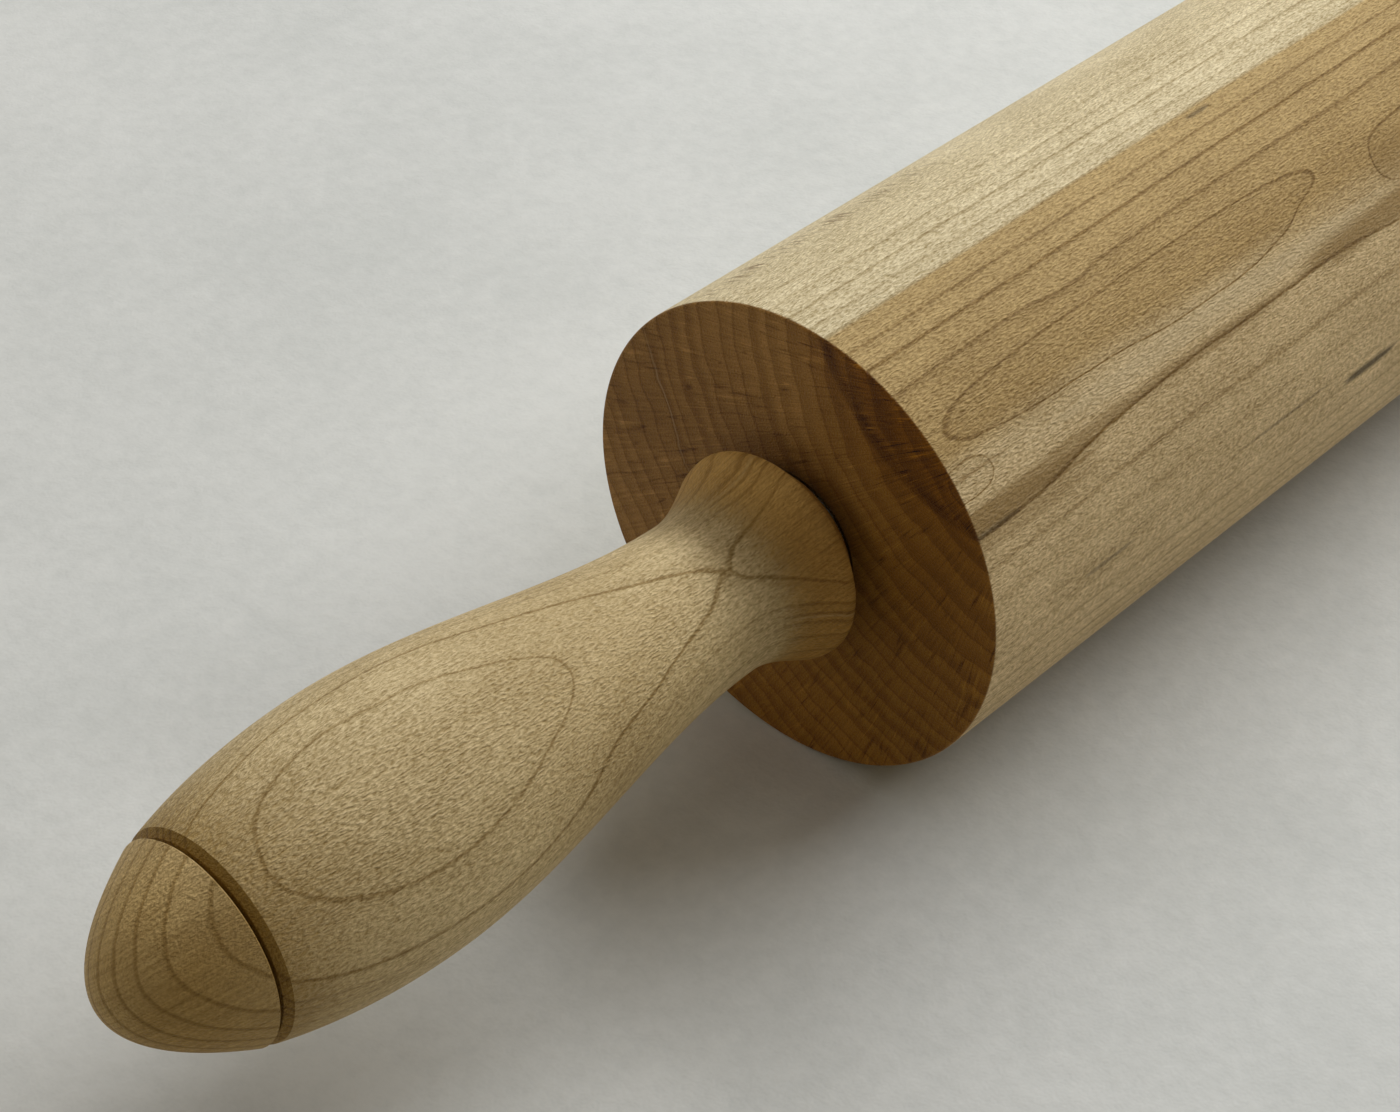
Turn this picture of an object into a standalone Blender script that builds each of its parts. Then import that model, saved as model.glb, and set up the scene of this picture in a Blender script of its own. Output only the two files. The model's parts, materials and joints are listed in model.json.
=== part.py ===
"""Rolling pin: a maple barrel that turns on ball bearings round a steel rod with two fixed handles.

The pin lies along X and rests on the plane Z = 0, with the origin under the middle of the barrel.
Lengths are in metres. A piece at an end of the pin has its own Z axis pointing out of the barrel's
end face, and its heights are measured from that face, so both ends use the same outlines.
"""

import math

import bmesh
import bpy

# Barrel
BARREL_LENGTH = 0.305
BARREL_DIAMETER = 0.070
BARREL_EDGE_RADIUS = 0.0005
BARREL_BORE_DIAMETER = 0.014
BEARING_RECESS = 0.0010

# Handle, with its distances along the axis from the barrel's end face
HANDLE_GAP = 0.0010
LIP_DIAMETER = 0.0309
LIP_RADIUS = 0.0035
FLARE_ANGLE = math.radians(27)
NECK_DIAMETER = 0.0228
NECK_DISTANCE = 0.0170
GRIP_DIAMETER = 0.0365
GRIP_DISTANCE = 0.0750
GRIP_END_REACH = 0.0440
HANDLE_END_DISTANCE = 0.1029
HANDLE_END_CHAMFER = 0.0011

# Cap that plugs the handle's end
CAP_HEIGHT = 0.0140
CAP_RIM_BEVEL = 0.0002
TENON_LENGTH = 0.0100
TENON_BEVEL = 0.0008
TENON_CLEARANCE = 0.0008

# Rod, thicker between the bearings, and what is clamped on its ends
ROD_DIAMETER = 0.008
ROD_CENTRE_DIAMETER = 0.011
ROD_END_BEVEL = 0.0008
ROD_PROJECTION = 0.0025
SPACER_DIAMETER = 0.0120
WASHER_DIAMETER = 0.0160
WASHER_THICKNESS = 0.0016
NUT_ACROSS_FLATS = 0.0130
NUT_HEIGHT = 0.0065
NUT_CORNER_ANGLE = math.radians(30)
SOCKET_CLEARANCE = 0.0006

# Ball bearing
BEARING_OUTER_DIAMETER = 0.022
BEARING_WIDTH = 0.007
BALL_DIAMETER = 0.00397
BALL_COUNT = 7
GROOVE_DEPTH = 0.0010
RACE_BEVEL = 0.0003
SHIELD_THICKNESS = 0.0005
SHIELD_INSET = 0.0002
SHIELD_LAP = 0.0008
CAGE_BASE_THICKNESS = 0.0006
CAGE_PRONG_HEIGHT = 0.0013

# Clearance between pieces that touch or run on each other
FIT_GAP = 0.0003

# Facets round each turned piece, and points along each curved stretch of an outline
BARREL_SEGMENTS = 64
HANDLE_SEGMENTS = 36
ROD_SEGMENTS = 24
BEARING_SEGMENTS = 21
LONG_CURVE_STEPS = 7
SHORT_CURVE_STEPS = 4
BALL_SUBDIVISIONS = 2

# Sizes that follow from those above
BARREL_RADIUS = BARREL_DIAMETER / 2
ROD_RADIUS = ROD_DIAMETER / 2
ROD_CENTRE_RADIUS = ROD_CENTRE_DIAMETER / 2
ROD_HOLE_RADIUS = ROD_RADIUS + FIT_GAP
NUT_CORNER_RADIUS = NUT_ACROSS_FLATS / math.sqrt(3)
SOCKET_RADIUS = max(NUT_CORNER_RADIUS, WASHER_DIAMETER / 2) + SOCKET_CLEARANCE
TENON_RADIUS = SOCKET_RADIUS - FIT_GAP

BEARING_RADIUS = BEARING_OUTER_DIAMETER / 2
BEARING_FRONT = -BEARING_RECESS
BEARING_BACK = BEARING_FRONT - BEARING_WIDTH
BEARING_MIDDLE = (BEARING_FRONT + BEARING_BACK) / 2
PITCH_RADIUS = (ROD_RADIUS + BEARING_RADIUS) / 2
GROOVE_RADIUS = BALL_DIAMETER / 2 + FIT_GAP
INNER_SHOULDER_RADIUS = PITCH_RADIUS - GROOVE_RADIUS + GROOVE_DEPTH
OUTER_SHOULDER_RADIUS = PITCH_RADIUS + GROOVE_RADIUS - GROOVE_DEPTH
SHIELD_FRONT = BEARING_FRONT - SHIELD_INSET
SHIELD_BACK = SHIELD_FRONT - SHIELD_THICKNESS
SHIELD_SEAT_RADIUS = OUTER_SHOULDER_RADIUS + SHIELD_LAP

CAP_FACE = HANDLE_END_DISTANCE + FIT_GAP
TENON_END = CAP_FACE - TENON_LENGTH
ROD_END = TENON_END - TENON_CLEARANCE
NUT_FRONT = ROD_END - ROD_PROJECTION
NUT_BACK = NUT_FRONT - NUT_HEIGHT
WASHER_FRONT = NUT_BACK - FIT_GAP
WASHER_BACK = WASHER_FRONT - WASHER_THICKNESS
SOCKET_FLOOR = WASHER_BACK - FIT_GAP

# The two ends of the pin, with the direction of each along X
SIDES = {"left": -1, "right": 1}

# Colour, roughness and metallic value of each material
FINISHES = {
    "maple_barrel": ((0.48, 0.32, 0.15), 0.55, 0.0),
    "maple_handle": ((0.52, 0.36, 0.17), 0.55, 0.0),
    "maple_cap": ((0.50, 0.34, 0.16), 0.55, 0.0),
    "rod_steel": ((0.56, 0.56, 0.57), 0.30, 1.0),
    "spacer_steel": ((0.60, 0.60, 0.60), 0.35, 1.0),
    "washer_zinc": ((0.66, 0.67, 0.68), 0.35, 1.0),
    "nut_zinc": ((0.62, 0.63, 0.65), 0.32, 1.0),
    "race_steel": ((0.52, 0.52, 0.53), 0.18, 1.0),
    "ball_steel": ((0.70, 0.70, 0.71), 0.08, 1.0),
    "shield_steel": ((0.64, 0.64, 0.65), 0.30, 1.0),
    "cage_nylon": ((0.85, 0.84, 0.80), 0.50, 0.0),
}


def clear_scene():
    """Remove every object that the scene holds."""
    for obj in list(bpy.data.objects):
        bpy.data.objects.remove(obj, do_unlink=True)


def new_collection(name):
    """Make a collection in the scene."""
    collection = bpy.data.collections.new(name)
    bpy.context.scene.collection.children.link(collection)
    return collection


def new_material(name):
    """Make the Principled material of one finish."""
    colour, roughness, metallic = FINISHES[name]
    material = bpy.data.materials.new(name)
    material.use_nodes = True
    shader = material.node_tree.nodes["Principled BSDF"]
    shader.inputs["Base Color"].default_value = (*colour, 1.0)
    shader.inputs["Roughness"].default_value = roughness
    shader.inputs["Metallic"].default_value = metallic
    material.diffuse_color = (*colour, 1.0)
    return material


def arc(centre, radius, start, end, steps):
    """Points (radius, height) along a circular arc, its angles measured from the +radius direction."""
    points = []
    for step in range(steps + 1):
        angle = start + (end - start) * step / steps
        points.append((centre[0] + radius * math.cos(angle), centre[1] + radius * math.sin(angle)))
    return points


def blend(start, end, t, start_slope=0.0):
    """Cubic from start at t = 0 to end at t = 1, with the given slope at its start and none at its end."""
    ease = t * t * (3 - 2 * t)
    return start + (end - start) * ease + start_slope * t * (1 - t) ** 2


def turned_mesh(name, outline, segments, closed=True):
    """Turn an outline of (radius, height) points, which runs down its outer side, about Z.

    The middle of each facet lies at the outline's radius, and one facet faces along X, so that the
    barrel lies flat on it. A closed outline is a ring, and an open one starts and ends on the axis.
    """
    half_facet = math.pi / segments
    points = [(radius, radius * math.tan(half_facet), height) for radius, height in outline]
    edges = [(i, i + 1) for i in range(len(points) - 1)]
    if closed:
        edges.append((len(points) - 1, 0))
    profile = bpy.data.meshes.new(name + "_profile")
    profile.from_pydata(points, edges, [])
    lathe = bpy.data.objects.new(name + "_lathe", profile)
    bpy.context.scene.collection.objects.link(lathe)
    screw = lathe.modifiers.new("Turn", "SCREW")
    screw.axis = "Z"
    screw.steps = segments
    screw.render_steps = segments
    screw.use_merge_vertices = True
    screw.merge_threshold = 0.00001
    mesh = bpy.data.meshes.new_from_object(lathe.evaluated_get(bpy.context.evaluated_depsgraph_get()))
    mesh.name = name
    bpy.data.objects.remove(lathe, do_unlink=True)
    mesh.shade_smooth()
    mesh.set_sharp_from_angle(angle=math.radians(30))
    return mesh


def cylinder_mesh(name, radius, bottom, top, segments):
    """A plain cylinder about Z, or a prism when it has few segments."""
    bm = bmesh.new()
    bmesh.ops.create_cone(
        bm, cap_ends=True, segments=segments, radius1=radius, radius2=radius, depth=top - bottom
    )
    bmesh.ops.translate(bm, verts=bm.verts, vec=(0, 0, (top + bottom) / 2))
    mesh = bpy.data.meshes.new(name)
    bm.to_mesh(mesh)
    bm.free()
    return mesh


def sphere_mesh(name, radius, places):
    """One mesh of spheres about the given places."""
    bm = bmesh.new()
    for place in places:
        sphere = bmesh.ops.create_icosphere(bm, subdivisions=BALL_SUBDIVISIONS, radius=radius)
        bmesh.ops.translate(bm, verts=sphere["verts"], vec=place)
    mesh = bpy.data.meshes.new(name)
    bm.to_mesh(mesh)
    bm.free()
    mesh.shade_smooth()
    return mesh


def add_axis(name, parts, distance=0.0):
    """Add the empty of a moving body, on the pin's axis at a distance along X from the middle."""
    axis = bpy.data.objects.new(name, None)
    axis.empty_display_size = BARREL_RADIUS
    axis.location = (distance, 0, BARREL_RADIUS)
    parts.objects.link(axis)
    return axis


def add_piece(name, mesh, finish, parts, axis, side=None, height=0.0):
    """Add a piece to its body, either at the pin's middle or at a height above one end face."""
    piece = bpy.data.objects.new(name, mesh)
    if not mesh.materials:
        mesh.materials.append(bpy.data.materials.get(finish) or new_material(finish))
    parts.objects.link(piece)
    direction = SIDES.get(side, 1)
    distance = 0.0 if side is None else direction * (BARREL_LENGTH / 2 + height)
    piece.parent = axis
    piece.location = (distance - axis.location.x, 0, 0)
    piece.rotation_euler = (0, direction * math.pi / 2, 0)
    return piece


def cut(piece, operation, mesh, cutters):
    """Cut a piece with a mesh made in the piece's own frame, or keep only what the mesh holds."""
    cutter = bpy.data.objects.new(piece.name + "_" + mesh.name, mesh)
    cutters.objects.link(cutter)
    cutter.parent = piece.parent
    cutter.location = piece.location
    cutter.rotation_euler = piece.rotation_euler
    cutter.hide_render = True
    cutter.display_type = "WIRE"
    boolean = piece.modifiers.new(mesh.name, "BOOLEAN")
    boolean.operation = operation
    boolean.object = cutter


def barrel_outline():
    """The barrel: rounded edges, a long bore, and a bearing's seat in each end."""
    half = BARREL_LENGTH / 2
    edge_centre = (BARREL_RADIUS - BARREL_EDGE_RADIUS, half - BARREL_EDGE_RADIUS)
    seat_radius = BEARING_RADIUS + FIT_GAP
    seat_floor = half + BEARING_BACK - FIT_GAP
    bore_radius = BARREL_BORE_DIAMETER / 2
    edge = arc(edge_centre, BARREL_EDGE_RADIUS, math.pi / 2, 0, SHORT_CURVE_STEPS)
    top = [(seat_radius, half)] + edge
    seat = [(bore_radius, seat_floor), (seat_radius, seat_floor)]
    bottom = [(r, -z) for r, z in reversed(top)]
    lower_seat = [(r, -z) for r, z in reversed(seat)]
    return top + bottom + lower_seat + seat


def rod_outline():
    """The rod: thin ends with bevelled tips, and a thick middle whose shoulders seat the bearings."""
    tip = BARREL_LENGTH / 2 + ROD_END
    shoulder = BARREL_LENGTH / 2 + BEARING_BACK - FIT_GAP
    top = [
        (0, tip),
        (ROD_RADIUS - ROD_END_BEVEL, tip),
        (ROD_RADIUS, tip - ROD_END_BEVEL),
        (ROD_RADIUS, shoulder),
        (ROD_CENTRE_RADIUS, shoulder),
    ]
    return top + [(r, -z) for r, z in reversed(top)]


def grip_end_radius(height):
    """Radius of the ellipse that rounds the grip off, from its widest place towards the cap."""
    return GRIP_DIAMETER / 2 * math.sqrt(1 - ((height - GRIP_DISTANCE) / GRIP_END_REACH) ** 2)


def handle_outline():
    """The handle: end chamfer, swelling grip, neck, flare with a rounded lip, bore and nut socket."""
    chamfer_height = HANDLE_END_DISTANCE - HANDLE_END_CHAMFER
    chamfer_radius = grip_end_radius(chamfer_height)
    outline = [(SOCKET_RADIUS, HANDLE_END_DISTANCE)]
    outline.append((chamfer_radius - HANDLE_END_CHAMFER, HANDLE_END_DISTANCE))
    for step in range(LONG_CURVE_STEPS):
        height = chamfer_height + (GRIP_DISTANCE - chamfer_height) * step / LONG_CURVE_STEPS
        outline.append((grip_end_radius(height), height))
    for step in range(LONG_CURVE_STEPS):
        t = step / LONG_CURVE_STEPS
        height = GRIP_DISTANCE + (NECK_DISTANCE - GRIP_DISTANCE) * t
        outline.append((blend(GRIP_DIAMETER / 2, NECK_DIAMETER / 2, t), height))
    lip_centre = (LIP_DIAMETER / 2 - LIP_RADIUS, HANDLE_GAP + LIP_RADIUS)
    lip = arc(lip_centre, LIP_RADIUS, FLARE_ANGLE, -math.pi / 2, 2 * SHORT_CURVE_STEPS)
    flare_radius, flare_height = lip[0]
    flare_length = NECK_DISTANCE - flare_height
    flare_slope = -math.tan(FLARE_ANGLE) * flare_length
    for step in range(SHORT_CURVE_STEPS):
        t = 1 - step / SHORT_CURVE_STEPS
        height = flare_height + flare_length * t
        outline.append((blend(flare_radius, NECK_DIAMETER / 2, t, flare_slope), height))
    outline += lip
    outline += [(ROD_HOLE_RADIUS, HANDLE_GAP), (ROD_HOLE_RADIUS, SOCKET_FLOOR), (SOCKET_RADIUS, SOCKET_FLOOR)]
    return outline


def cap_outline():
    """The cap: a paraboloid dome that carries on the grip's outline, and a tenon for the socket."""
    rim_radius = grip_end_radius(CAP_FACE)
    outline = []
    for step in range(LONG_CURVE_STEPS + 1):
        share = step / LONG_CURVE_STEPS
        height = CAP_FACE + CAP_RIM_BEVEL + CAP_HEIGHT * (1 - share ** 2)
        outline.append((rim_radius * share, height))
    outline.append((rim_radius - CAP_RIM_BEVEL, CAP_FACE))
    outline.append((TENON_RADIUS, CAP_FACE))
    outline.append((TENON_RADIUS, TENON_END + TENON_BEVEL))
    outline.append((TENON_RADIUS - TENON_BEVEL, TENON_END))
    outline.append((0, TENON_END))
    return outline


def washer_outline(radius, bottom, top):
    """A flat ring on the rod."""
    return [(ROD_HOLE_RADIUS, top), (radius, top), (radius, bottom), (ROD_HOLE_RADIUS, bottom)]


def nut_corner_outline():
    """The double cone that bevels the nut's corners, where its faces meet a circle in its flats."""
    face_radius = NUT_ACROSS_FLATS / 2
    drop = (NUT_CORNER_RADIUS - face_radius) * math.tan(NUT_CORNER_ANGLE)
    reach = 2 * (NUT_CORNER_RADIUS - face_radius)
    return [
        (0, NUT_FRONT),
        (face_radius, NUT_FRONT),
        (face_radius + reach, NUT_FRONT - 2 * drop),
        (face_radius + reach, NUT_BACK + 2 * drop),
        (face_radius, NUT_BACK),
        (0, NUT_BACK),
    ]


def ball_places():
    """Each ball's place in the bearing, about the bearing's middle."""
    angles = [2 * math.pi * index / BALL_COUNT for index in range(BALL_COUNT)]
    return [(PITCH_RADIUS * math.cos(angle), PITCH_RADIUS * math.sin(angle), 0) for angle in angles]


def groove_half_angle():
    """Angle from a groove's deepest point to its edge, seen from the ball's centre."""
    return math.acos((GROOVE_RADIUS - GROOVE_DEPTH) / GROOVE_RADIUS)


def inner_race_outline():
    """The inner race: a ring on the rod with the ball groove round its outside."""
    half_angle = groove_half_angle()
    centre = (PITCH_RADIUS, BEARING_MIDDLE)
    groove = arc(centre, GROOVE_RADIUS, math.pi - half_angle, math.pi + half_angle, SHORT_CURVE_STEPS)
    return [
        (ROD_HOLE_RADIUS, BEARING_FRONT),
        (INNER_SHOULDER_RADIUS - RACE_BEVEL, BEARING_FRONT),
        (INNER_SHOULDER_RADIUS, BEARING_FRONT - RACE_BEVEL),
        *groove,
        (INNER_SHOULDER_RADIUS, BEARING_BACK + RACE_BEVEL),
        (INNER_SHOULDER_RADIUS - RACE_BEVEL, BEARING_BACK),
        (ROD_HOLE_RADIUS, BEARING_BACK),
    ]


def outer_race_outline():
    """The outer race: a ring with the ball groove round its inside and a step for the shield."""
    half_angle = groove_half_angle()
    centre = (PITCH_RADIUS, BEARING_MIDDLE)
    groove = arc(centre, GROOVE_RADIUS, -half_angle, half_angle, SHORT_CURVE_STEPS)
    return [
        (SHIELD_SEAT_RADIUS, BEARING_FRONT),
        (BEARING_RADIUS - RACE_BEVEL, BEARING_FRONT),
        (BEARING_RADIUS, BEARING_FRONT - RACE_BEVEL),
        (BEARING_RADIUS, BEARING_BACK + RACE_BEVEL),
        (BEARING_RADIUS - RACE_BEVEL, BEARING_BACK),
        (OUTER_SHOULDER_RADIUS, BEARING_BACK),
        *groove,
        (OUTER_SHOULDER_RADIUS, SHIELD_BACK - FIT_GAP),
        (SHIELD_SEAT_RADIUS, SHIELD_BACK - FIT_GAP),
    ]


def shield_outline():
    """The shield: a thin ring in the outer race's step that keeps flour out of the balls."""
    inner = INNER_SHOULDER_RADIUS + FIT_GAP
    outer = SHIELD_SEAT_RADIUS - FIT_GAP
    return [(inner, SHIELD_FRONT), (outer, SHIELD_FRONT), (outer, SHIELD_BACK), (inner, SHIELD_BACK)]


def cage_outline():
    """The cage before its pockets are cut, about the middle of the bearing."""
    inner = INNER_SHOULDER_RADIUS + FIT_GAP
    outer = OUTER_SHOULDER_RADIUS - FIT_GAP
    bottom = -GROOVE_RADIUS - CAGE_BASE_THICKNESS
    return [(inner, CAGE_PRONG_HEIGHT), (outer, CAGE_PRONG_HEIGHT), (outer, bottom), (inner, bottom)]


def add_bearing_rings(parts, barrel_axis, handle_axis):
    """Add both bearings' races and shields, the inner races on the rod and the rest in the barrel."""
    outer_race = turned_mesh("outer_race", outer_race_outline(), BEARING_SEGMENTS)
    inner_race = turned_mesh("inner_race", inner_race_outline(), BEARING_SEGMENTS)
    shield = turned_mesh("shield", shield_outline(), BEARING_SEGMENTS)
    for side in SIDES:
        add_piece(side + "_bearing_outer_race", outer_race, "race_steel", parts, barrel_axis, side)
        add_piece(side + "_bearing_shield", shield, "shield_steel", parts, barrel_axis, side)
        add_piece(side + "_bearing_inner_race", inner_race, "race_steel", parts, handle_axis, side)


def add_cages(parts, cutters):
    """Add both bearings' cages and the balls that they carry round the rod."""
    balls = [sphere_mesh("ball", BALL_DIAMETER / 2, [place]) for place in ball_places()]
    pockets = sphere_mesh("pockets", GROOVE_RADIUS, ball_places())
    cage_ring = turned_mesh("cage_ring", cage_outline(), BEARING_SEGMENTS)
    for side, direction in SIDES.items():
        axis = add_axis(side + "_cage_axis", parts, direction * (BARREL_LENGTH / 2 + BEARING_MIDDLE))
        for number, ball in enumerate(balls, start=1):
            name = f"{side}_bearing_ball_{number}"
            add_piece(name, ball, "ball_steel", parts, axis, side, BEARING_MIDDLE)
        name = side + "_bearing_cage"
        cage = add_piece(name, cage_ring, "cage_nylon", parts, axis, side, BEARING_MIDDLE)
        cut(cage, "DIFFERENCE", pockets, cutters)


def add_fasteners(parts, cutters, handle_axis):
    """Add what clamps each handle to the rod: a spacer at its base, a washer and a nut in its socket."""
    spacer_top = HANDLE_GAP - FIT_GAP
    spacer_bottom = BEARING_FRONT + FIT_GAP
    spacer_ring = washer_outline(SPACER_DIAMETER / 2, spacer_bottom, spacer_top)
    washer_ring = washer_outline(WASHER_DIAMETER / 2, WASHER_BACK, WASHER_FRONT)
    spacer = turned_mesh("spacer", spacer_ring, ROD_SEGMENTS)
    washer = turned_mesh("washer", washer_ring, ROD_SEGMENTS)
    hexagon = cylinder_mesh("hexagon", NUT_CORNER_RADIUS, NUT_BACK, NUT_FRONT, 6)
    corners = turned_mesh("corners", nut_corner_outline(), ROD_SEGMENTS, closed=False)
    hole = cylinder_mesh("hole", ROD_HOLE_RADIUS, NUT_BACK - FIT_GAP, NUT_FRONT + FIT_GAP, ROD_SEGMENTS)
    for side in SIDES:
        add_piece(side + "_spacer_washer", spacer, "spacer_steel", parts, handle_axis, side)
        add_piece(side + "_axle_washer", washer, "washer_zinc", parts, handle_axis, side)
        nut = add_piece(side + "_axle_nut", hexagon, "nut_zinc", parts, handle_axis, side)
        cut(nut, "INTERSECT", corners, cutters)
        cut(nut, "DIFFERENCE", hole, cutters)


def add_handles(parts, handle_axis):
    """Add both handles and the caps that plug their ends."""
    handle = turned_mesh("handle", handle_outline(), HANDLE_SEGMENTS)
    cap = turned_mesh("cap", cap_outline(), HANDLE_SEGMENTS, closed=False)
    for side in SIDES:
        add_piece(side + "_handle", handle, "maple_handle", parts, handle_axis, side)
        add_piece(side + "_end_cap", cap, "maple_cap", parts, handle_axis, side)


def build():
    """Build the rolling pin."""
    clear_scene()
    parts = new_collection("rolling_pin")
    cutters = new_collection("cutters")
    barrel_axis = add_axis("barrel_axis", parts)
    handle_axis = add_axis("handle_axis", parts)
    barrel = turned_mesh("barrel", barrel_outline(), BARREL_SEGMENTS)
    rod = turned_mesh("rod", rod_outline(), ROD_SEGMENTS, closed=False)
    add_piece("barrel", barrel, "maple_barrel", parts, barrel_axis)
    add_piece("axle_rod", rod, "rod_steel", parts, handle_axis)
    add_bearing_rings(parts, barrel_axis, handle_axis)
    add_cages(parts, cutters)
    add_fasteners(parts, cutters, handle_axis)
    add_handles(parts, handle_axis)


build()
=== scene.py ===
"""Looks of the rolling pin: smooth turned maple, plain steel, and soft light from one side.

Lengths are in metres, but in millimetres where they describe the wood's figure. Angles round the pin are
in degrees from +Y towards +Z. A place along a piece of wood is measured from an end face of the barrel:
inwards from the left one on the barrel, and outwards, below 0, on a handle and its cap.
"""

import json
import math

import bpy
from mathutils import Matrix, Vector


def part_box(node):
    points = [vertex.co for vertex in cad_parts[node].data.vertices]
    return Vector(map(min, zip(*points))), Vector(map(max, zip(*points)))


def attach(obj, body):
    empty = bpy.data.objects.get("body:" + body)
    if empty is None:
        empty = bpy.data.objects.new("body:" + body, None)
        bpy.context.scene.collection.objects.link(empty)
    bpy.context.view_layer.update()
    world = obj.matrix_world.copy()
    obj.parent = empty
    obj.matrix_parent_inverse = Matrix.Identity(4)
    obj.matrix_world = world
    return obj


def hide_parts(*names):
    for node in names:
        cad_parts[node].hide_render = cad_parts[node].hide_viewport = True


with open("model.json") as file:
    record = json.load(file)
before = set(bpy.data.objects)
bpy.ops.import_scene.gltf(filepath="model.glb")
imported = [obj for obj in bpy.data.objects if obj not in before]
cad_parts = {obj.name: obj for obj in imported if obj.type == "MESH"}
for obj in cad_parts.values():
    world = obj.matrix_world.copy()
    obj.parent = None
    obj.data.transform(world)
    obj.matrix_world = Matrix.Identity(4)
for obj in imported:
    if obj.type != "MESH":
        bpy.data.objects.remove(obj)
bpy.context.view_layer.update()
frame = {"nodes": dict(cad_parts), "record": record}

# Camera, from the ellipse of the barrel's end face and the outline of the handle in the photograph
CAMERA_PLACE = (-0.4000, -0.2100, 0.2848)
CAMERA_AIM = (-0.1631, 0.0065, 0.0350)
CAMERA_LENS = 78.2
CAMERA_CLIP_START = 0.01
SENSOR_WIDTH = 36.0

# Floor: its size, its palest and darkest colour, and the noises that lead from one to the other
FLOOR_SIZE = 6.0
FLOOR_COLOUR = (0.72, 0.73, 0.70)
FLOOR_SHADE = (0.60, 0.615, 0.588)
FLOOR_CLOUD_SIZE = (0.10, 0.10, 0.10)
FLOOR_GRAIN_SIZE = (0.004, 0.004, 0.004)
FLOOR_GRAIN_SHARE = 0.50
FLOOR_SHADE_RANGE = (-0.6, 0.5)
FLOOR_ROUGHNESS = 0.88
FLOOR_ROUGHNESS_CHANGE = 0.06
FLOOR_BUMP = 0.0002
FLOOR_BUMP_STRENGTH = 0.5

# Lamps: name, turn from +X towards +Y and height above the floor in degrees, width and height of the
# lit panel in metres, power in watts, and colour
LAMP_AIM = (-0.10, 0.0, 0.03)
LAMP_REACH = 1.1
LAMPS = (
    ("right", 0.0, 50.0, (1.6, 0.2), 12.7, (0.98, 1.0, 1.03)),
    ("ceiling", 0.0, 88.0, (0.9, 0.5), 1.6, (1.0, 0.94, 0.86)),
    ("back_left", 140.0, 25.0, (0.9, 0.6), 1.5, (1.0, 0.94, 0.86)),
)

# World: the strength and colour of its light, and those of the background that is seen directly, in
# metal and through glass
WORLD_LIGHT = 0.10
WORLD_COLOUR = (1.02, 0.88, 0.69)
BACKGROUND_LIGHT = 0.66
BACKGROUND_COLOUR = (1.0, 1.0, 0.98)

# Sizes of the turned pieces, from the model
BARREL_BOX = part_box("barrel")
BARREL_RADIUS = (BARREL_BOX[1].z - BARREL_BOX[0].z) / 2
BARREL_END = BARREL_BOX[1].x
AXIS_HEIGHT = (BARREL_BOX[1].z + BARREL_BOX[0].z) / 2
HANDLE_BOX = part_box("right_handle")
GRIP_RADIUS = (HANDLE_BOX[1].z - HANDLE_BOX[0].z) / 2
HANDLE_GAP = HANDLE_BOX[0].x - BARREL_END
HANDLE_END_DISTANCE = HANDLE_BOX[1].x - BARREL_END
CAP_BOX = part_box("right_end_cap")
CAP_TENON_END = CAP_BOX[0].x - BARREL_END
CAP_TOP = CAP_BOX[1].x - BARREL_END

# Sizes of the turned pieces that no box gives, in metres, with distances from the barrel's end face
BARREL_EDGE_RADIUS = 0.0005
BARREL_BORE_RADIUS = 0.0070
BEARING_SEAT_RADIUS = 0.0113
BEARING_SEAT_DEPTH = 0.0083
LIP_OUTER_RADIUS = 0.01545
LIP_ROUNDING = 0.0035
LIP_EDGE_RADIUS = 0.0004
LIP_UNDERSIDE_ANGLE = math.radians(-47)
COLLAR_RADIUS = 0.0119
FLARE_ANGLE = math.radians(27)
NECK_RADIUS = 0.0114
NECK_DISTANCE = 0.0170
GRIP_DISTANCE = 0.0750
GRIP_END_REACH = 0.0440
HANDLE_END_CHAMFER = 0.0009
HANDLE_END_RECESS = 0.0006
HANDLE_BORE_RADIUS = 0.0043
SOCKET_RADIUS = 0.0086
SOCKET_FLOOR = 0.0799
FIT_GAP = 0.0003
CAP_GAP = 0.00005
CAP_RIM_BEVEL = 0.0002
TENON_BEVEL = 0.0008

# Steps round each turned piece and along its curves, and the angle from which an edge is sharp
TURNED_STEPS = 256
CURVE_STEPS = 48
EDGE_STEPS = 8
SHARP_ANGLE = math.radians(18)

MILLIMETRES_IN_METRE = (1000.0, 1000.0, 1000.0)

# The figures of the wood, in millimetres, with these entries:
# pith: (angle, distance from the axis) of the line along the pin that the growth rings go round. A
#   ring distance is measured from it.
# surface: the distance from the axis at which the entries that give none lie
# lean: (place, slope), where a slope makes the ring distance grow along the piece from that place
# least_slope: the least slope of the ring distance along the surface that a line's width allows for
# rings, strengths: the ring distances of the rings' dark edges, and how dark each is, from 0 to 1
# line: how far the line of an edge reaches towards the pith and away from it
# outer_spacing: the width of the rings beyond the last, before OUTER_STEPS
# pale_rings: (ring distance, place, angle, distance from the axis, half length, half width, strength)
# flecks: (place, angle, half length, half width, strength) of an area with flecks
# accents: the same, where the lines are stronger by the last number, or weaker if it is below 0
# swells: (place, angle, half length, half width, height). A swell makes the ring distance larger or
#   smaller near a place, which bends the lines into loops and tongues.
# streaks: (place, angle, half length, half width, strength, colour)
# end_tones: (angle, distance from the axis, half width, share) of lighter and darker end grain
# Anything with a half length or half width of ENDLESS has no end that way. FADE_POWER is how suddenly a
# lump ends lengthways.
ENDLESS = 1000.0
FADE_POWER = 4.0
RING_TINT = (0.33, 0.23, 0.03)
FLECK_BROWN = (0.205, 0.115, 0.040)
STREAK_BROWN = (0.080, 0.050, 0.016)
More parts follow.
